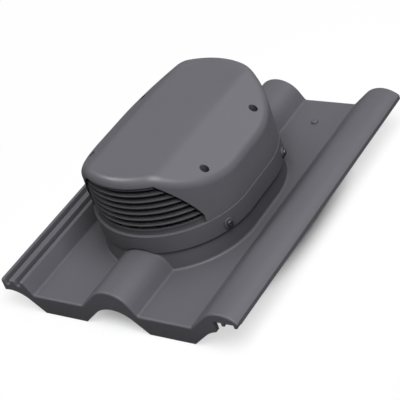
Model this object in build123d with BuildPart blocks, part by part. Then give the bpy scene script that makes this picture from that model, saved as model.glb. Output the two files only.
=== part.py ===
"""Roof tile vent: a moulded interlocking tile with an oval upstand, a louvred collar and a cowl.

Millimetres. X runs across the roof slope, Y up the slope, Z away from the roof.
The origin is at the middle of the tile, on the plane that the front lip and the rear nibs rest on.
"""
from build123d import *
import os
from math import cos, radians, sin, sqrt, tan

os.makedirs("parts", exist_ok=True)

# Tile sheet
tile_length = 420.0
tile_width = 334.0
sheet = 4.0
pan_top = 25.0
foot_round = 4.0
front_round = 2.5
lip_thickness = 6.0

# Rolls: the shape of the weather face, twice in the width that the tile covers beside its side lap
side_lap = 30.0
roll_inset = 22.3
roll_radius = 33.0
roll_height = 29.3
roll_left_slope = 43.0
roll_right_slope = 62.0

# Channels in the front lip, which pass over the rolls of the course below
channel_radius = 38.0
channel_height = 28.0
channel_left_slope = 42.0
channel_right_slope = 44.0

# Side interlock: two grooves on the left edge, two ribs under the right roll
shelf_width = 34.0
shelf_height = 18.5
shelf_floor = 4.0
groove_depth = 6.5
groove_top = 8.0
groove_bottom = 4.0
groove_inset = 8.0
groove_pitch = 16.0
interlock_play = 2.0
lap_width = 32.0
lap_underside = 17.5
lap_rib = 3.5
lap_rib_tip = 13.0

# Nibs that hook over the batten, stiffening ribs under the pans, raised dots on them
nib_width = 44.0
nib_thickness = 14.0
nib_inset = 8.0
nib_chamfer = 2.0
rib_thickness = 2.5
rib_depth = 7.0
rib_spacing = 40.0
dot_diameter = 9.0
dot_height = 2.6
dot_round = 2.1
dot_inset = 44.0

# Apron that turns rain aside behind the vent: a low wedge round the back of the upstand
apron_reach = 10.2
apron_start = 80.0
apron_height = 5.0

# Vent: an oval of two half circles and a straight, on the middle roll
vent_from_roll = -4.7
vent_y = -6.5
vent_straight = 53.0
collar_radius = 102.5
collar_bottom = 50.5
collar_top = 75.0
collar_wall = 3.3
slip_fit = 0.4
upstand_wall = 4.0
upstand_flare = 1.3
upstand_lean = 4.5
upstand_round = 3.0
spigot_drop = 13.0
collar_flange = 3.5
roll_clearance = 2.0
ledge_round = 0.8

# Cowl
cowl_gap = 0.6
cowl_wall = 2.5
cowl_top = 154.0
cowl_flat = 89.0
cowl_slope = 32.0
cowl_draft = 1.8
cowl_bend = 30.0
cowl_round = 12.0

# Window in the front of the cowl
window_top = 142.5
window_top_width = 94.0
window_bottom_width = 162.6
window_side_bottom = 85.0
window_bulge = 4.8
window_corner = 4.0

# Louvre screen
screen_wall = 4.0
screen_recess = 3.6
screen_fit = 0.4
screen_angle = 78.0
rim_height = 7.0
blade_count = 7
blade_pitch = 8.55
first_blade = 88.0
blade_depth = 13.0
blade_slope = 15.0
blade_thickness = 1.8
blade_nose = 1.2
blade_end_gap = 2.6
stay_count = 5
stay_spread = 100.0
stay_thickness = 2.5
stay_inner = 84.0
stay_outer = 90.5
post_pilot = 12.0
well_base = 2.5

# Screws
collar_screw_angle = 23.0
collar_screw_z = 59.5
collar_boss = 13.0
collar_boss_height = 2.0
head_diameter = 8.0
head_height = 2.6
head_round = 1.5
recess_diameter = 3.6
recess_depth = 1.8
shank_diameter = 4.0
shank_fit = 0.4
shank_length = 11.0
shank_tip = 1.0
cowl_screw_x = 80.4
cowl_screw_front = 34.1
cowl_screw_back = 28.9
well_diameter = 10.0
well_wall = 1.8
well_depth = 14.0
post_diameter = 9.0
web_thickness = 2.5

# Worked out from the sizes above
left_edge = -tile_width / 2
right_edge = tile_width / 2
front_edge = -tile_length / 2
back_edge = tile_length / 2
roll_pitch = (tile_width - side_lap) / 2
rolls = [right_edge - roll_inset - number * roll_pitch for number in (2, 1, 0)]
vent_x = rolls[1] + vent_from_roll
vent_front = vent_y - vent_straight / 2
vent_back = vent_y + vent_straight / 2
upstand_radius = collar_radius - collar_wall - slip_fit
throat_radius = upstand_radius - upstand_wall
upstand_top = collar_top - collar_flange
cowl_radius = collar_radius - cowl_gap
screen_radius = collar_radius - screen_recess
profile_plane = Plane.XZ.offset(-front_edge)
lean_top = pan_top + roll_height + upstand_round + 1


def foot_x(x, depth, side):
    """Where a roll's flank would meet the pan, with both set down by depth."""
    slope = radians(roll_left_slope if side < 0 else roll_right_slope)
    tangent_height = roll_height - roll_radius + roll_radius * cos(slope)
    reach = roll_radius * sin(slope) + tangent_height / tan(slope)
    return x + side * (reach - depth * tan(slope / 2))


def roll_line(x, depth):
    """One roll in the current line: flank, crest arc and flank, from left to right."""
    centre = pan_top + roll_height - roll_radius
    radius = roll_radius - depth
    left, right = radians(roll_left_slope), radians(roll_right_slope)
    start = (x - radius * sin(left), centre + radius * cos(left))
    end = (x + radius * sin(right), centre + radius * cos(right))
    Line((foot_x(x, depth, -1), pan_top - depth), start)
    ThreePointArc(start, (x, centre + radius), end)
    Line(end, (foot_x(x, depth, 1), pan_top - depth))


def weather_line(depth, shelf_top):
    """The tile's face, set down by depth, from the left edge to past the right one."""
    level = pan_top - depth
    slope = radians(roll_right_slope)
    first_foot = foot_x(rolls[0], depth, 1)
    shelf_end = first_foot - (shelf_top - level) / tan(slope)
    Polyline((left_edge, shelf_top), (shelf_end, shelf_top), (first_foot, level),
             (foot_x(rolls[1], depth, -1), level))
    roll_line(rolls[1], depth)
    Line((foot_x(rolls[1], depth, 1), level), (foot_x(rolls[2], depth, -1), level))
    roll_line(rolls[2], depth)


def channel_line(x):
    """The gap in the front lip over one roll of the course below, as a closed line."""
    left, right = radians(channel_left_slope), radians(channel_right_slope)
    centre = channel_height - channel_radius
    start = (x - channel_radius * sin(left), centre + channel_radius * cos(left))
    end = (x + channel_radius * sin(right), centre + channel_radius * cos(right))
    foot_left = (start[0] - start[1] / tan(left), 0)
    foot_right = (end[0] + end[1] / tan(right), 0)
    Line(foot_left, start)
    ThreePointArc(start, (x, channel_height), end)
    Polyline(end, foot_right, foot_left)


def oval_plane(z):
    """A level plane at the middle of the vent."""
    return Plane((vent_x, vent_y, z))


def cowl_wall_radius(z, inset):
    """Radius of the cowl's wall, which leans in, at the level z and moved in by inset."""
    return cowl_radius - inset - (z - collar_top) * tan(radians(cowl_draft))


def cowl_solid(inset):
    """The cowl's outer form, or what is left of it after all its faces are moved in by inset."""
    slope = radians(cowl_slope)
    top = cowl_top - inset
    half_flat = cowl_flat / 2 - inset * tan(slope / 2)
    edge_z = top - (collar_radius - half_flat) * tan(slope)
    with BuildPart() as form:
        with BuildSketch(oval_plane(collar_top)):
            SlotCenterToCenter(vent_straight, 2 * (cowl_radius - inset), rotation=90)
        extrude(amount=cowl_top, taper=cowl_draft)
        with BuildSketch(Plane((vent_x, vent_y, 0), x_dir=(1, 0, 0), z_dir=(0, -1, 0))) as section:
            with BuildLine():
                Polyline((-collar_radius, collar_top), (-collar_radius, edge_z), (-half_flat, top),
                         (half_flat, top), (collar_radius, edge_z), (collar_radius, collar_top), close=True)
            make_face()
            bends = section.vertices().group_by(Axis.Y)[-1]
            fillet(bends, cowl_bend - inset)
        extrude(amount=collar_radius + vent_straight, both=True, mode=Mode.INTERSECT)
        rim = form.edges().filter_by(lambda e: e.center().Z > edge_z - 1)
        rim = rim.filter_by(lambda e: e.length > 1 and on_cowl_wall(e, inset))
        fillet(rim, cowl_round - inset)
    return form.part


def on_cowl_wall(edge, inset):
    """True where an edge lies all along the cowl's wall."""
    for place in (0, 0.35, 0.7, 1):
        point = edge @ place
        from_y = max(vent_front - point.Y, point.Y - vent_back, 0)
        if abs(sqrt((point.X - vent_x)**2 + from_y**2) - cowl_wall_radius(point.Z, inset)) > 0.1:
            return False
    return True


def window_line(margin, foot):
    """The window seen from the front, made smaller by margin, down to the level foot, as a closed line."""
    half_top = window_top_width / 2 - margin
    half_bottom = window_bottom_width / 2 - margin
    top = window_top - margin
    run, rise = half_bottom - half_top, top - window_side_bottom
    chord = sqrt(run**2 + rise**2)
    bulge_x = (half_top + half_bottom) / 2 + window_bulge * rise / chord
    bulge_z = (top + window_side_bottom) / 2 + window_bulge * run / chord
    Line((-half_top, top), (half_top, top))
    ThreePointArc((half_top, top), (bulge_x, bulge_z), (half_bottom, window_side_bottom))
    Polyline((half_bottom, window_side_bottom), (half_bottom, foot), (-half_bottom, foot),
             (-half_bottom, window_side_bottom))
    ThreePointArc((-half_bottom, window_side_bottom), (-bulge_x, bulge_z), (-half_top, top))


def window_prism(margin, foot):
    """The window's opening as a solid that runs forward from the middle of the front half circle."""
    with BuildPart() as prism:
        with BuildSketch(window_plane) as face:
            with BuildLine():
                window_line(margin, foot)
            make_face()
            fillet(face.vertices().group_by(Axis.Y)[-1], window_corner)
        extrude(amount=collar_radius)
    return prism.part


def oval_tube(z, height, radius, wall):
    """An upright oval tube with its outer face at radius, standing on the level z."""
    with BuildPart() as tube:
        with BuildSketch(oval_plane(z)):
            SlotCenterToCenter(vent_straight, 2 * radius, rotation=90)
            SlotCenterToCenter(vent_straight, 2 * (radius - wall), rotation=90, mode=Mode.SUBTRACT)
        extrude(amount=height)
    return tube.part


window_plane = Plane((vent_x, vent_front, 0), x_dir=(1, 0, 0), z_dir=(0, -1, 0))

# Places of the screws, by mirror pairs
collar_screw_spots = []
for y, turn in ((vent_front, -1), (vent_back, 1)):
    for side in (-1, 1):
        angle = radians(collar_screw_angle)
        outward = Vector(side * cos(angle), turn * sin(angle), 0)
        collar_screw_spots.append((Vector(vent_x, y, collar_screw_z) + outward * collar_radius, outward))

cowl_screw_spots = []
for y in (vent_front - cowl_screw_front, vent_back + cowl_screw_back):
    for side in (-1, 1):
        cowl_screw_spots.append((vent_x + side * cowl_screw_x, y))

well_top = cowl_top - (cowl_screw_x - cowl_flat / 2) * tan(radians(cowl_slope))
well_floor = well_top - well_depth
post_top = well_floor - well_base


def upstand_solid(gap):
    """The upstand, filled: a leaning foot and a straight top, with its sides set out by gap."""
    radius = upstand_radius + gap
    with BuildPart() as solid:
        with BuildSketch(Plane((vent_x, vent_y - upstand_lean / 2, pan_top))):
            SlotCenterToCenter(vent_straight + upstand_lean, 2 * (radius + upstand_flare), rotation=90)
        with BuildSketch(oval_plane(lean_top)):
            SlotCenterToCenter(vent_straight, 2 * radius, rotation=90)
        loft(ruled=True)
        with BuildSketch(oval_plane(lean_top)):
            SlotCenterToCenter(vent_straight, 2 * radius, rotation=90)
        extrude(amount=upstand_top - lean_top)
    return solid.part


upstand = upstand_solid(0)


def on_foot(edge):
    """True where an edge lies all along the outside of the upstand's leaning foot."""
    for place in (0, 0.35, 0.7, 1):
        point = edge @ place
        share = 1 - (point.Z - pan_top) / (lean_top - pan_top)
        front = vent_front - share * upstand_lean
        from_y = max(front - point.Y, point.Y - vent_back, 0)
        off = abs(sqrt((point.X - vent_x)**2 + from_y**2) - upstand_radius - share * upstand_flare)
        if off > 0.1 or point.Z > pan_top + roll_height + 0.1:
            return False
    return abs(edge.tangent_at(0.5).Z) < 0.9


with BuildPart() as apron_wedge:
    with BuildSketch(oval_plane(pan_top - sheet / 2)):
        SlotCenterToCenter(vent_straight, 2 * (upstand_radius + apron_reach), rotation=90)
    extrude(amount=sheet + apron_height)
    with BuildSketch(Plane.YZ.offset(vent_x)):
        with BuildLine():
            apron_end = vent_back + upstand_radius + apron_reach
            Polyline((apron_start, pan_top), (apron_end, pan_top + apron_height),
                     (apron_end, pan_top - sheet / 2), (apron_start, pan_top - sheet / 2), close=True)
        make_face()
    extrude(amount=collar_radius + apron_reach, both=True, mode=Mode.INTERSECT)

# The tile, one moulding
shelf_top = pan_top + shelf_height
shelf_under = shelf_top - groove_depth - shelf_floor
pans = [(foot_x(rolls[n], 0, 1) + foot_x(rolls[n + 1], 0, -1)) / 2 for n in (0, 1)]
grooves = [left_edge + groove_inset, left_edge + groove_inset + groove_pitch]
lap_ribs = [x + 2 * roll_pitch + interlock_play for x in grooves]
past_edge = foot_x(rolls[2], 0, 1)

with BuildPart() as tile:
    # A full block under the weather face, with its front edge rounded and the upstand on it
    with BuildSketch(profile_plane) as section:
        with BuildLine():
            weather_line(0, shelf_top)
            Polyline((past_edge, pan_top), (past_edge, 0), (left_edge, 0), (left_edge, shelf_top))
        make_face()
        for groove_x in grooves:
            with BuildLine():
                Polyline((groove_x - groove_top / 2, shelf_top),
                         (groove_x - groove_bottom / 2, shelf_top - groove_depth),
                         (groove_x + groove_bottom / 2, shelf_top - groove_depth),
                         (groove_x + groove_top / 2, shelf_top), close=True)
            make_face(mode=Mode.SUBTRACT)
        with Locations((right_edge, 0)):
            Rectangle(roll_pitch, tile_width, align=(Align.MIN, Align.CENTER), mode=Mode.SUBTRACT)
        fillet(section.vertices().filter_by(lambda v: abs(v.Y - pan_top) < 0.01), foot_round)
    extrude(amount=-tile_length)
    front_outline = tile.faces().sort_by(Axis.Y)[0].edges().filter_by(lambda e: e.center().Z > pan_top - 1)
    fillet(front_outline.filter_by(lambda e: abs(e.tangent_at(0.5).Z) < 0.99), front_round)
    add(upstand)
    fillet(tile.edges().filter_by(on_foot), upstand_round)

    # The apron behind the upstand
    add(apron_wedge.part)

    # The underside, hollowed to one sheet with stiffening ribs and the two interlock ribs
    with BuildSketch(profile_plane.offset(-lip_thickness)) as hollow:
        with BuildLine():
            weather_line(sheet, shelf_under)
            Polyline((foot_x(rolls[2], sheet, 1), pan_top - sheet), (foot_x(rolls[2], sheet, 1), -sheet),
                     (left_edge, -sheet), (left_edge, shelf_under))
        make_face()
        under_feet = hollow.vertices().filter_by(lambda v: abs(v.Y - pan_top + sheet) < 0.01)
        fillet(under_feet.filter_by(lambda v: v.X < right_edge), foot_round + sheet)
        with Locations(*[(x, pan_top + lap_rib_tip) for x in lap_ribs]):
            Rectangle(lap_rib, roll_height, align=(Align.CENTER, Align.MIN), mode=Mode.SUBTRACT)
        with Locations(*[(x + side * rib_spacing / 2, pan_top - sheet) for x in pans for side in (-1, 1)]):
            Rectangle(rib_thickness, rib_depth, align=(Align.CENTER, Align.MAX), mode=Mode.SUBTRACT)
    extrude(amount=-tile_length, mode=Mode.SUBTRACT)

    # The front lip, opened over the rolls of the course below and over the next tile's interlock
    with BuildSketch(profile_plane):
        for roll_x in rolls:
            with BuildLine():
                channel_line(roll_x)
            make_face()
        with Locations((right_edge, pan_top + lap_underside)):
            Rectangle(lap_width, tile_width, align=(Align.MAX, Align.MAX))
        with Locations(*[(x, pan_top + lap_rib_tip) for x in lap_ribs]):
            Rectangle(lap_rib, roll_height, align=(Align.CENTER, Align.MIN), mode=Mode.SUBTRACT)
    extrude(amount=-lip_thickness, mode=Mode.SUBTRACT)

    # Nibs that hook over the batten
    with BuildSketch(Plane.XY):
        with Locations(*[(x, back_edge - nib_inset) for x in pans]):
            Rectangle(nib_width, nib_thickness, align=(Align.CENTER, Align.MAX))
    extrude(amount=pan_top - sheet / 2)
    nib_soles = tile.faces().filter_by(lambda f: abs(f.center().Z) < 0.01 and f.center().Y > 0)
    chamfer(nib_soles.edges(), nib_chamfer)

    # The raised dots
    with BuildSketch(Plane.XY.offset(pan_top)):
        with Locations(*[(x, back_edge - dot_inset) for x in pans]):
            Circle(dot_diameter / 2)
    extrude(amount=dot_height)
    dots = tile.faces().filter_by(lambda f: abs(f.center().Z - pan_top - dot_height) < 0.01)
    fillet(dots.filter_by(lambda f: f.center().Y > vent_back + collar_radius).edges(), dot_round)

    # The upstand again below the sheet, with its spigot, and the throat through it all
    add(upstand)
    with BuildSketch(oval_plane(pan_top - sheet - spigot_drop)):
        SlotCenterToCenter(vent_straight, 2 * upstand_radius, rotation=90)
    extrude(amount=sheet + spigot_drop)
    with BuildSketch(oval_plane(0)):
        SlotCenterToCenter(vent_straight, 2 * throat_radius, rotation=90)
    extrude(amount=collar_top, mode=Mode.SUBTRACT)
    for spot, outward in collar_screw_spots:
        with Locations(Plane(spot, z_dir=outward)):
            Cylinder(shank_diameter / 2, 2 * (collar_wall + slip_fit + upstand_wall + 1),
                     mode=Mode.SUBTRACT)


# The cowl's form and the hollow inside it
cowl_form = cowl_solid(0)
cowl_hollow = cowl_solid(cowl_wall)
screen_room = cowl_solid(cowl_wall + screen_fit)

# The room for the blades: the window made narrower, and carried up behind its top edge
with BuildPart() as blade_room:
    add(window_prism(blade_end_gap, collar_top))
    with BuildSketch(window_plane):
        with Locations((0, cowl_top)):
            Rectangle(window_top_width - 2 * blade_end_gap,
                      cowl_top - window_top + blade_end_gap + window_corner,
                      align=(Align.CENTER, Align.MAX))
    extrude(amount=collar_radius)

# The louvre blades: one nosed strip for each, turned round the front half circle and cut to that room
with BuildPart() as blades:
    with BuildSketch(Plane((vent_x, vent_front, 0), x_dir=(0, -1, 0), z_dir=(-1, 0, 0))):
        for number in range(blade_count):
            nose = (screen_radius - blade_nose, first_blade + number * blade_pitch)
            inner = (nose[0] - blade_depth * cos(radians(blade_slope)),
                     nose[1] + blade_depth * sin(radians(blade_slope)))
            with BuildLine():
                Line(nose, inner)
            trace(line_width=blade_thickness)
            with Locations(nose):
                Circle(blade_nose)
    revolve(axis=Axis((vent_x, vent_front, 0), (0, 0, 1)), revolution_arc=screen_angle)
    mirror(about=Plane((vent_x, 0, 0), z_dir=(1, 0, 0)))
    add(blade_room.part, mode=Mode.INTERSECT)

# The stays that carry the blades from behind, and the screen wall round the window
rim_top = collar_top + rim_height
screen_inner = screen_radius - screen_wall
opening = window_prism(0, rim_top)

with BuildPart() as slot_room:
    add(opening)
    with BuildSketch(Plane((vent_x, vent_front, collar_top))):
        Circle(stay_outer)
    extrude(amount=cowl_top, mode=Mode.SUBTRACT)

with BuildPart() as stays:
    with BuildSketch(Plane((vent_x, vent_front, collar_top))):
        for number in range(stay_count):
            turn = stay_spread * (number / (stay_count - 1) - 0.5)
            with Locations(Location((0, 0), turn - 90)):
                with Locations((stay_inner, 0)):
                    Rectangle(screen_inner + 1 - stay_inner, stay_thickness,
                              align=(Align.MIN, Align.CENTER))
    extrude(amount=cowl_top - collar_top)
    add(slot_room.part, mode=Mode.SUBTRACT)

with BuildPart() as screen:
    add(oval_tube(collar_top, cowl_top - collar_top, screen_radius, screen_wall))
    with BuildSketch(Plane((vent_x, vent_front - screen_radius * cos(radians(screen_angle)), collar_top))):
        Rectangle(2 * collar_radius, collar_radius, align=(Align.CENTER, Align.MAX))
    extrude(amount=cowl_top, mode=Mode.INTERSECT)
    add(opening, mode=Mode.SUBTRACT)
    add(stays.part)
    add(screen_room, mode=Mode.INTERSECT)
    add(blades.part)

# The collar: a skirt over the upstand, a flange that rests on it, the screen and the cowl's screw posts
with BuildPart() as collar:
    with BuildSketch(oval_plane(collar_bottom)):
        SlotCenterToCenter(vent_straight, 2 * collar_radius, rotation=90)
    extrude(amount=collar_top - collar_bottom)
    fillet(collar.edges().group_by(Axis.Z)[-1], ledge_round)
    for spot, outward in collar_screw_spots:
        with BuildSketch(Plane(spot + outward * collar_boss_height, z_dir=outward)):
            Circle(collar_boss / 2)
        extrude(amount=-collar_boss_height - collar_wall / 2)
    add(upstand_solid(slip_fit), mode=Mode.SUBTRACT)
    with BuildSketch(oval_plane(collar_bottom)):
        SlotCenterToCenter(vent_straight, 2 * throat_radius, rotation=90)
    extrude(amount=collar_top, mode=Mode.SUBTRACT)
    with BuildSketch(profile_plane):
        with BuildLine():
            weather_line(-roll_clearance, shelf_top)
            Polyline((foot_x(rolls[2], -roll_clearance, 1), pan_top + roll_clearance), (past_edge, 0),
                     (left_edge, 0), (left_edge, shelf_top))
        make_face()
    extrude(amount=-tile_length, mode=Mode.SUBTRACT)
    add(oval_tube(collar_top, rim_height, screen_radius, screen_wall))
    add(screen.part)
    for x, y in cowl_screw_spots:
        out = Vector(x - vent_x, y - (vent_front if y < vent_y else vent_back), 0)
        heading = Vector(1, 0, 0).get_signed_angle(out)
        with BuildSketch(Plane((x, y, upstand_top))):
            Circle(post_diameter / 2)
        extrude(amount=post_top - upstand_top)
        with BuildSketch(Plane((x, y, upstand_top))):
            with Locations(Location((0, 0), heading)):
                Rectangle(screen_inner + screen_wall / 2 - out.length, web_thickness,
                          align=(Align.MIN, Align.CENTER))
        extrude(amount=rim_top - upstand_top)
        with Locations((x, y, post_top)):
            Cylinder(shank_diameter / 2, 2 * post_pilot, mode=Mode.SUBTRACT)
    for spot, outward in collar_screw_spots:
        with Locations(Plane(spot, z_dir=outward)):
            Cylinder((shank_diameter + shank_fit) / 2, 3 * collar_wall, mode=Mode.SUBTRACT)

# The cowl, a thin shell with four sunk screw wells
with BuildPart() as wells:
    with BuildSketch(Plane.XY.offset(post_top)):
        with Locations(*cowl_screw_spots):
            Circle(well_diameter / 2 + well_wall)
    extrude(amount=cowl_top - post_top)
    add(cowl_form, mode=Mode.INTERSECT)

with BuildPart() as cowl:
    add(cowl_form)
    add(cowl_hollow, mode=Mode.SUBTRACT)
    add(wells.part)
    with BuildSketch(Plane.XY.offset(well_floor)):
        with Locations(*cowl_screw_spots):
            Circle(well_diameter / 2)
    extrude(amount=cowl_top - well_floor, mode=Mode.SUBTRACT)
    with BuildSketch(Plane.XY.offset(post_top)):
        with Locations(*cowl_screw_spots):
            Circle((shank_diameter + shank_fit) / 2)
    extrude(amount=well_base, mode=Mode.SUBTRACT)
    add(window_prism(0, collar_top), mode=Mode.SUBTRACT)

# One pan-head screw, its seat at the origin and its head along Z
with BuildPart() as screw:
    with BuildSketch():
        Circle(head_diameter / 2)
    extrude(amount=head_height)
    fillet(screw.edges().group_by(Axis.Z)[-1], head_round)
    with BuildSketch():
        Circle(shank_diameter / 2)
    extrude(amount=-shank_length)
    chamfer(screw.edges().group_by(Axis.Z)[0], shank_tip)
    with BuildSketch(Plane.XY.offset(head_height)):
        RegularPolygon(recess_diameter / 2, 6)
    extrude(amount=-recess_depth, mode=Mode.SUBTRACT)

with BuildPart() as collar_screws:
    for spot, outward in collar_screw_spots:
        with Locations(Plane(spot + outward * collar_boss_height, z_dir=outward)):
            add(screw.part)

with BuildPart() as cowl_screws:
    with Locations(*[(x, y, well_floor) for x, y in cowl_screw_spots]):
        add(screw.part)

for piece, name in ((tile, "tile_base"), (collar, "louvre_collar"), (cowl, "cowl"),
                    (collar_screws, "collar_screws"), (cowl_screws, "cowl_screws")):
    piece.part.label = name
    export_step(piece.part, f"parts/{name}.step")
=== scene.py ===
"""Looks for a roof tile vent: a moulded tile, a louvred collar and a cowl, in dark grey plastic.

Metres. X runs across the roof slope, Y up the slope, Z away from the roof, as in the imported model.
"""
import math

import bpy
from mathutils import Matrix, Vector


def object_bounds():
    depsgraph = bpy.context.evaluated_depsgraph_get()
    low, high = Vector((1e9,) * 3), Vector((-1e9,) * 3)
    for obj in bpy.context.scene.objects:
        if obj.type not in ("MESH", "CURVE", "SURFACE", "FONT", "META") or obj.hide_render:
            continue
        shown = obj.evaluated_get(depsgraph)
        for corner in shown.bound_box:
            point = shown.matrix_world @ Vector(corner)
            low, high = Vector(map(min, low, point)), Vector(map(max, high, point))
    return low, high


bl_info = {
    "name": "Roof tile vent",
    "version": (1, 0, 0),
    "blender": (4, 5, 0),
    "location": "3D View > Sidebar > Roof vent",
    "description": "Dresses a roof tile vent in its moulded plastic and sets up a plain studio",
    "category": "Object",
}

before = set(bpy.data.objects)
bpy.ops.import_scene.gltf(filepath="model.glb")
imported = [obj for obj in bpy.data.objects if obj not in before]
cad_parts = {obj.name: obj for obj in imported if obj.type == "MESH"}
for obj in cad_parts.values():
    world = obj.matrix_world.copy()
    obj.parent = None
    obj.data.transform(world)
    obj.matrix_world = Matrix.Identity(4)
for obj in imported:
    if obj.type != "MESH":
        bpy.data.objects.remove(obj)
cad_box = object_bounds()

# Sizes of the marks on the moulded plastic
FLOW_MARK = 0.060  # width of a flow mark
PIT_DEPTH = 0.0001  # depth of the grain
EDGE_ROUND = 0.0007  # rounding of the edges as they are shaded
OCCLUSION_REACH = 0.060  # how near another face has to be for the painted shade in hollows to gather, and for an edge to count as an inner corner
LOUVRE_SHADE_START = 0.076  # just over the collar's ledge, where the louvres and their painted shade begin
LOUVRE_SHADE_RISE = 0.004  # height over which the louvres' painted shade sets in

# Strengths of those marks, as shares of the plastic's colour
FLOW_DARKER, FLOW_PALER = 0.94, 1.06
# Pale specks on the grain are a painted glint
GLINT_PALER, GLINT_SHARE = 1.3, 0.3
# How much paler the painted highlight along the outer edges is
EDGE_HIGHLIGHT_PALER = 1.8
# Share of the colour left in the deepest painted shade of the hollows
LEFT_IN_HOLLOW_SHADE = 0.4
# Share of the colour left in the louvres' painted shade
LEFT_IN_LOUVRE_SHADE = 0.5
FLOW_ROUGHER = 0.04  # added to the roughness, or taken from it

# The coating of the screws
CLOUD_MARK = 0.0025  # width of a cloud
CLOUD_DARKER, CLOUD_PALER = 0.75, 1.25
SCREW_EDGE_ROUND = 0.0003

# The studio
HALF_WIDTH, HALF_LENGTH = cad_box[1][0], cad_box[1][1]  # of the tile
FLOOR_SIZE = 40
FLOOR_DROP = 0.0005  # keeps the floor clear of the faces that the tile rests on
MIRRORED_WHITE = 0.2  # how white the surroundings are in the shine of the object
LAMP_TARGET = (0, 0, 0.08)  # inside the vent, under the cowl

# The photograph's viewpoint, worked out from the tile's edges and rolls
CAMERA_PLACE = (0.94248, -1.05551, 1.01434)
CAMERA_TURN = (53.4896, 15.7312, 30.8495)  # degrees
SENSOR_WIDTH = 36.0  # mm


def linear(hex_colour):
    """An sRGB colour such as 5F5E64 as linear red, green and blue."""
    channels = [int(hex_colour[i:i + 2], 16) / 255 for i in (0, 2, 4)]
    return tuple(c / 12.92 if c <= 0.04045 else ((c + 0.055) / 1.055) ** 2.4 for c in channels)


def tint(colour, share):
    """A linear colour made lighter or darker by a share, with its alpha."""
    return tuple(min(1.0, c * share) for c in colour[:3]) + (1.0,)


def node(tree, kind, settings=None, links=None):
    """Adds a node with its settings, and links each named or numbered input to a socket."""
    new = tree.nodes.new(kind)
    for key, value in (settings or {}).items():
        if isinstance(key, str) and hasattr(new, key):
            setattr(new, key, value)
        else:
            new.inputs[key].default_value = value
    for key, socket in (links or {}).items():
        tree.links.new(socket, new.inputs[key])
    return new


def material(name):
    """A new material with an empty node tree."""
    made = bpy.data.materials.new(name)
    made.use_nodes = True
    made.node_tree.nodes.clear()
    return made


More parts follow.
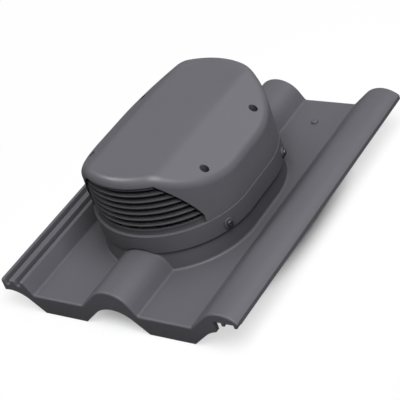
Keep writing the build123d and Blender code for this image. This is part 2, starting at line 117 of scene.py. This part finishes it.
def moulded_plastic(name, colour, grain, roughness, shine, drawn=(1.0, 1.0, 1.0),
                    shaded_above=None):
    """Moulded polypropylene, dark grey and matt from the spark-eroded grain of its mould.

    The grain breaks the shine up into a soft sheen; pale specks on its tips are a painted glint.
    The melt's flow leaves a faint mottle, stretched by drawn. The outer edges get a painted
    highlight, the hollows painted shade, and the louvres above a given height an even painted shade."""
    made = material(name)
    tree = made.node_tree
    place = node(tree, "ShaderNodeTexCoord").outputs["Object"]
    stretched = node(tree, "ShaderNodeMapping", {"Scale": drawn}, {"Vector": place})
    flow = node(tree, "ShaderNodeTexNoise",
                {"Scale": 1 / FLOW_MARK, "Detail": 4.0, "Roughness": 0.6},
                {"Vector": stretched.outputs["Vector"]})
    shade = node(tree, "ShaderNodeMix",
                 {"data_type": "RGBA", 6: tint(colour, FLOW_DARKER), 7: tint(colour, FLOW_PALER)},
                 {0: flow.outputs["Fac"]})
    # The real grain is about 0.2 mm wide, too fine for the picture, so it is drawn coarser
    pits = node(tree, "ShaderNodeTexNoise",
                {"Scale": 1 / grain, "Detail": 2.0, "Roughness": 0.6}, {"Vector": place})
    # Pale specks on the tips of the grain are a painted glint
    glint = node(tree, "ShaderNodeMapRange",
                 {"From Min": 0.52, "From Max": 0.75, "To Max": GLINT_SHARE},
                 {"Value": pits.outputs["Fac"]})
    glinted = node(tree, "ShaderNodeMix", {"data_type": "RGBA", 7: tint(colour, GLINT_PALER)},
                    {0: glint.outputs["Result"], 6: shade.outputs[2]})
    # The more the rounded normal turns from the face's own, the nearer is the edge
    edge = node(tree, "ShaderNodeBevel", {"samples": 4, "Radius": EDGE_ROUND})
    straight = node(tree, "ShaderNodeNewGeometry").outputs["Normal"]
    bent = node(tree, "ShaderNodeVectorMath", {"operation": "DOT_PRODUCT"},
                {0: edge.outputs["Normal"], 1: straight})
    edge_near = node(tree, "ShaderNodeMapRange", {"From Min": 0.98, "From Max": 0.80, "To Max": 1.0},
                {"Value": bent.outputs["Value"]})
    # Only edges in the open, not inner corners, get the painted highlight, and in patches
    open_air = node(tree, "ShaderNodeAmbientOcclusion", {"samples": 8, "Distance": OCCLUSION_REACH})
    outer = node(tree, "ShaderNodeMapRange", {"From Min": 0.82, "From Max": 0.95},
                 {"Value": open_air.outputs["AO"]})
    outside = node(tree, "ShaderNodeMath", {"operation": "MULTIPLY"},
                   {0: edge_near.outputs["Result"], 1: outer.outputs["Result"]})
    patchy = node(tree, "ShaderNodeMath", {"operation": "MULTIPLY"},
                  {0: outside.outputs[0], 1: flow.outputs["Fac"]})
    edge_lit = node(tree, "ShaderNodeMix", {"data_type": "RGBA", 7: tint(colour, EDGE_HIGHLIGHT_PALER)},
                  {0: patchy.outputs[0], 6: glinted.outputs[2]})
    # Painted shade darkens the sunk holes, the grooves, the underside and the feet of the walls
    hollow_shade = node(tree, "ShaderNodeMapRange",
                 {"From Min": 0.1, "From Max": 0.95, "To Min": LEFT_IN_HOLLOW_SHADE, "To Max": 1.0},
                 {"Value": open_air.outputs["AO"]})
    kept = hollow_shade.outputs["Result"]
    if shaded_above is not None:
        # An even painted shade of the cowl lies on the louvres, in place of the painted shade in
        # hollows
        height = node(tree, "ShaderNodeSeparateXYZ", None, {0: place}).outputs["Z"]
        louvre_shade = node(tree, "ShaderNodeMapRange",
                     {"From Min": shaded_above, "From Max": shaded_above + LOUVRE_SHADE_RISE},
                     {"Value": height})
        kept = node(tree, "ShaderNodeMix", {"data_type": "FLOAT", 3: LEFT_IN_LOUVRE_SHADE},
                    {0: louvre_shade.outputs["Result"], 2: kept}).outputs[0]
    # Black is mixed in where the painted shade lies
    shaded_colour = node(tree, "ShaderNodeMix", {"data_type": "RGBA", 6: tint((0, 0, 0), 1)},
                 {0: kept, 7: edge_lit.outputs[2]})
    rough = node(tree, "ShaderNodeMapRange",
                 {"From Min": 0.3, "From Max": 0.7,
                  "To Min": roughness - FLOW_ROUGHER, "To Max": roughness + FLOW_ROUGHER},
                 {"Value": flow.outputs["Fac"]})
    # Seen at a slant, the pits hide the flats between them, so the shine fades out there
    slant = node(tree, "ShaderNodeLayerWeight", {"Blend": 0.5})
    faded = node(tree, "ShaderNodeMapRange", {"From Min": 0.35, "From Max": 0.8, "To Max": 1.0},
                 {"Value": slant.outputs["Facing"], "To Min": rough.outputs["Result"]})
    bump = node(tree, "ShaderNodeBump", {"Strength": 0.2, "Distance": PIT_DEPTH},
                {"Height": pits.outputs["Fac"], "Normal": edge.outputs["Normal"]})
    shader = node(tree, "ShaderNodeBsdfPrincipled", {"IOR": 1.49, "Specular IOR Level": shine},
                  {"Base Color": shaded_colour.outputs[2], "Roughness": faded.outputs["Result"],
                   "Normal": bump.outputs["Normal"]})
    node(tree, "ShaderNodeOutputMaterial", None, {"Surface": shader.outputs["BSDF"]})
    return made


def dark_zinc(name, colour):
    """Zinc-plated steel with a dark passivation: a dull grey metal with a faint cloudy tone."""
    made = material(name)
    tree = made.node_tree
    place = node(tree, "ShaderNodeTexCoord").outputs["Object"]
    cloud = node(tree, "ShaderNodeTexNoise", {"Scale": 1 / CLOUD_MARK, "Detail": 3.0},
                 {"Vector": place})
    shade = node(tree, "ShaderNodeMix",
                 {"data_type": "RGBA", 6: tint(colour, CLOUD_DARKER), 7: tint(colour, CLOUD_PALER)},
                 {0: cloud.outputs["Fac"]})
    rough = node(tree, "ShaderNodeMapRange", {"To Min": 0.42, "To Max": 0.60},
                 {"Value": cloud.outputs["Fac"]})
    edge = node(tree, "ShaderNodeBevel", {"samples": 4, "Radius": SCREW_EDGE_ROUND})
    shader = node(tree, "ShaderNodeBsdfPrincipled", {"Metallic": 1.0},
                  {"Base Color": shade.outputs[2], "Roughness": rough.outputs["Result"],
                   "Normal": edge.outputs["Normal"]})
    node(tree, "ShaderNodeOutputMaterial", None, {"Surface": shader.outputs["BSDF"]})
    return made


def finish_node(name, made):
    """Gives every face of a node of the frame one material."""
    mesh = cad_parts[name].data
    mesh.materials.clear()
    mesh.materials.append(made)


class VentPlastic(bpy.types.PropertyGroup):
    """Colours of the pieces, and the grain of their plastic."""
    tile_colour: bpy.props.FloatVectorProperty(
        name="Tile", description="Colour of the tile's plastic", default=linear("5F5E64"),
        subtype="COLOR")
    cowl_colour: bpy.props.FloatVectorProperty(
        name="Cowl", description="Colour of the collar's and cowl's plastic",
        default=linear("626167"), subtype="COLOR")
    screw_colour: bpy.props.FloatVectorProperty(
        name="Screws", description="Colour of the screws' coating", default=linear("606166"),
        subtype="COLOR")
    grain: bpy.props.FloatProperty(
        name="Grain", description="Width of the moulded grain as it is drawn", default=0.0009,
        min=0.0001, max=0.005, precision=5, unit="LENGTH")


class VentStudio(bpy.types.PropertyGroup):
    """The camera and the lights."""
    lens: bpy.props.FloatProperty(
        name="Lens", description="Focal length for a frame 36 mm wide", default=127.4, min=20,
        unit="CAMERA")
    key_power: bpy.props.FloatProperty(
        name="Key lamp", description="Power of the large lamp above, at the front right",
        default=178.0, min=0, unit="POWER")
    rim_power: bpy.props.FloatProperty(
        name="Rim lamp",
        description="Power of the small lamp that shines along the cowl's front rim",
        default=38.0, min=0, unit="POWER")
    sheen_power: bpy.props.FloatProperty(
        name="Sheen lamp",
        description="Power of the lamp behind that gives the slopes on the right their sheen",
        default=12.0, min=0, unit="POWER")
    back_power: bpy.props.FloatProperty(
        name="Back lamp", description="Power of the low lamp that lights the back", default=28.0,
        min=0, unit="POWER")
    sky: bpy.props.FloatProperty(
        name="Even light", description="Strength of the even light from all sides", default=0.15,
        min=0, max=2, subtype="FACTOR")


class VENT_OT_tile(bpy.types.Operator):
    """Dress the moulded tile"""
    bl_idname = "vent.tile"
    bl_label = "Moulded tile"

    def execute(self, context):
        plastic = context.scene.vent_plastic
        # The melt ran along the tile, so its flow marks are drawn out that way
        finish_node("tile_base", moulded_plastic(
            "tile moulded polypropylene", plastic.tile_colour, plastic.grain,
            roughness=0.50, shine=0.45, drawn=(1.0, 0.4, 1.0)))
        return {"FINISHED"}


class VENT_OT_cowl(bpy.types.Operator):
    """Dress the collar with its louvres, and the cowl"""
    bl_idname = "vent.cowl"
    bl_label = "Collar and cowl"

    def execute(self, context):
        plastic = context.scene.vent_plastic
        finish_node("cowl", moulded_plastic(
            "cowl moulded polypropylene", plastic.cowl_colour, plastic.grain,
            roughness=0.42, shine=0.5))
        # Above the ledge, the louvres are darkened by an even painted shade of the cowl
        finish_node("louvre_collar", moulded_plastic(
            "collar moulded polypropylene", plastic.cowl_colour, plastic.grain,
            roughness=0.60, shine=0.3, shaded_above=LOUVRE_SHADE_START))
        return {"FINISHED"}


class VENT_OT_screws(bpy.types.Operator):
    """Dress the screws"""
    bl_idname = "vent.screws"
    bl_label = "Screws"

    def execute(self, context):
        made = dark_zinc("dark passivated steel", context.scene.vent_plastic.screw_colour)
        finish_node("collar_screws", made)
        finish_node("cowl_screws", made)
        return {"FINISHED"}


def ray_kinds(tree):
    """Two sockets for how white the studio is: to the camera, and in a shine or through glass."""
    rays = node(tree, "ShaderNodeLightPath")
    mirror = node(tree, "ShaderNodeMath", {"operation": "MAXIMUM"},
                  {0: rays.outputs["Is Glossy Ray"], 1: rays.outputs["Is Transmission Ray"]})
    # A gloss on the plastic as strong as a white room's would wash its dark sides out
    dimmed = node(tree, "ShaderNodeMath", {"operation": "MULTIPLY", 1: MIRRORED_WHITE},
                  {0: mirror.outputs[0]})
    return rays.outputs["Is Camera Ray"], dimmed.outputs[0]


def floor_paint():
    """Matt studio paint. The camera sees it white, with the object's shadow on it, and it throws
    back little light, so that the walls and the front lip stay dark."""
    made = material("matt studio paint")
    tree = made.node_tree
    camera, mirror = ray_kinds(tree)
    seen = node(tree, "ShaderNodeMath", {"operation": "MAXIMUM"}, {0: camera, 1: mirror}).outputs[0]
    tone = node(tree, "ShaderNodeMix",
                {"data_type": "RGBA", 6: tint(linear("505052"), 1), 7: tint(linear("FAFAFB"), 1)},
                {0: seen})
    paint = node(tree, "ShaderNodeBsdfDiffuse", None, {"Color": tone.outputs[2]})
    glow = node(tree, "ShaderNodeEmission", {"Color": tint(linear("FEFEFE"), 1), "Strength": 1.0})
    # Ovals round the middle, the one at 1 touching the tile's sides: no glow under the vent, part
    # of it near the sides and under the corners, so that the shadow shows, and all of it far out
    place = node(tree, "ShaderNodeTexCoord").outputs["Object"]
    scaled = node(tree, "ShaderNodeMapping", {"Scale": (1 / HALF_WIDTH, 1 / HALF_LENGTH, 0)},
                  {"Vector": place})
    away = node(tree, "ShaderNodeVectorMath", {"operation": "LENGTH"},
                {0: scaled.outputs["Vector"]})
    beside = node(tree, "ShaderNodeMapRange", {"From Min": 0.8, "From Max": 1.0},
                  {"Value": away.outputs["Value"]})
    beyond = node(tree, "ShaderNodeMapRange",
                  {"From Min": 1.0, "From Max": 2.4, "To Min": 0.6, "To Max": 1.0},
                  {"Value": away.outputs["Value"]})
    whiter = node(tree, "ShaderNodeMath", {"operation": "MULTIPLY"},
                  {0: beside.outputs["Result"], 1: beyond.outputs["Result"]})
    share = node(tree, "ShaderNodeMath", {"operation": "MULTIPLY"}, {0: seen, 1: whiter.outputs[0]})
    both = node(tree, "ShaderNodeMixShader", None,
                {0: share.outputs[0], 1: paint.outputs[0], 2: glow.outputs[0]})
    node(tree, "ShaderNodeOutputMaterial", None, {"Surface": both.outputs[0]})
    return made


def even_light(strength):
    """A world of weak even light. The camera sees it white all round. A shine on the object shows
    white walls, dimmed by ray_kinds, that end in the dim ceiling 17 to 30 degrees up."""
    world = bpy.data.worlds.new("even light")
    world.use_nodes = True
    tree = world.node_tree
    tree.nodes.clear()
    light = node(tree, "ShaderNodeBackground", {"Color": (1, 1, 1, 1), "Strength": strength})
    wall = node(tree, "ShaderNodeBackground", {"Color": (1, 1, 1, 1), "Strength": 1.0})
    camera, mirror = ray_kinds(tree)
    heading = node(tree, "ShaderNodeTexCoord").outputs["Generated"]
    height = node(tree, "ShaderNodeSeparateXYZ", None, {0: heading})
    low = node(tree, "ShaderNodeMapRange",
               {"From Min": 0.3, "From Max": 0.5, "To Min": 1.0, "To Max": 0.0},
               {"Value": height.outputs["Z"]})
    walls = node(tree, "ShaderNodeMath", {"operation": "MULTIPLY"},
                 {0: mirror, 1: low.outputs["Result"]})
    white = node(tree, "ShaderNodeMath", {"operation": "MAXIMUM"},
                 {0: camera, 1: walls.outputs[0]})
    both = node(tree, "ShaderNodeMixShader", None,
                {0: white.outputs[0], 1: light.outputs[0], 2: wall.outputs[0]})
    node(tree, "ShaderNodeOutputWorld", None, {"Surface": both.outputs[0]})
    return world


def lamp(name, place, size, power):
    """A round soft lamp that faces the vent."""
    bpy.ops.object.light_add(type="AREA", location=place)
    added = bpy.context.object
    added.name = name
    added.data.shape = "DISK"
    added.data.size = size
    added.data.energy = power
    facing = Vector(LAMP_TARGET) - added.location
    added.rotation_euler = facing.to_track_quat("-Z", "Y").to_euler()
    return added


class VENT_OT_stage(bpy.types.Operator):
    """Add the floor, the lamps, the even light and the camera"""
    bl_idname = "vent.stage"
    bl_label = "Studio"

    def execute(self, context):
        studio = context.scene.vent_studio
        bpy.ops.object.select_all(action="DESELECT")
        bpy.ops.mesh.primitive_plane_add(size=FLOOR_SIZE, location=(0, 0, -FLOOR_DROP))
        floor = context.object
        floor.name = "studio_floor"
        floor.data.materials.append(floor_paint())

        lamp("key_lamp", place=(1.50, -0.90, 3.50), size=3.0, power=studio.key_power)
        rim = lamp("rim_lamp", place=(-1.70, -0.95, 2.45), size=0.7, power=studio.rim_power)
        sheen = lamp("sheen_lamp", place=(1.15, 2.30, 2.40), size=1.5, power=studio.sheen_power)
        back = lamp("back_lamp", place=(-0.50, 3.10, 0.75), size=1.4, power=studio.back_power)
        # Two of them only give a shine, and the low one behind gives none
        rim.visible_diffuse = False
        sheen.visible_diffuse = False
        back.visible_glossy = False
        context.scene.world = even_light(studio.sky)

        bpy.ops.object.camera_add(location=CAMERA_PLACE,
                                  rotation=[math.radians(a) for a in CAMERA_TURN])
        camera = context.object
        camera.name = "view_camera"
        camera.data.lens = studio.lens
        camera.data.sensor_width = SENSOR_WIDTH
        context.scene.camera = camera
        context.scene.view_settings.view_transform = "Standard"
        return {"FINISHED"}


class VENT_PT_panel(bpy.types.Panel):
    """The steps that dress the roof tile vent"""
    bl_idname = "VENT_PT_panel"
    bl_label = "Roof tile vent"
    bl_space_type = "VIEW_3D"
    bl_region_type = "UI"
    bl_category = "Roof vent"

    def draw(self, context):
        for group in (context.scene.vent_plastic, context.scene.vent_studio):
            for key in group.__annotations__:
                self.layout.prop(group, key)
        for step in STEPS:
            self.layout.operator(step.bl_idname)


STEPS = (VENT_OT_tile, VENT_OT_cowl, VENT_OT_screws, VENT_OT_stage)
CLASSES = (VentPlastic, VentStudio) + STEPS + (VENT_PT_panel,)


def register():
    for item in CLASSES:
        bpy.utils.register_class(item)
    bpy.types.Scene.vent_plastic = bpy.props.PointerProperty(type=VentPlastic)
    bpy.types.Scene.vent_studio = bpy.props.PointerProperty(type=VentStudio)


def unregister():
    del bpy.types.Scene.vent_studio
    del bpy.types.Scene.vent_plastic
    for item in reversed(CLASSES):
        bpy.utils.unregister_class(item)


def main():
    """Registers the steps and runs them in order."""
    register()
    bpy.ops.vent.tile()
    bpy.ops.vent.cowl()
    bpy.ops.vent.screws()
    bpy.ops.vent.stage()


if __name__ == "__main__":
    main()
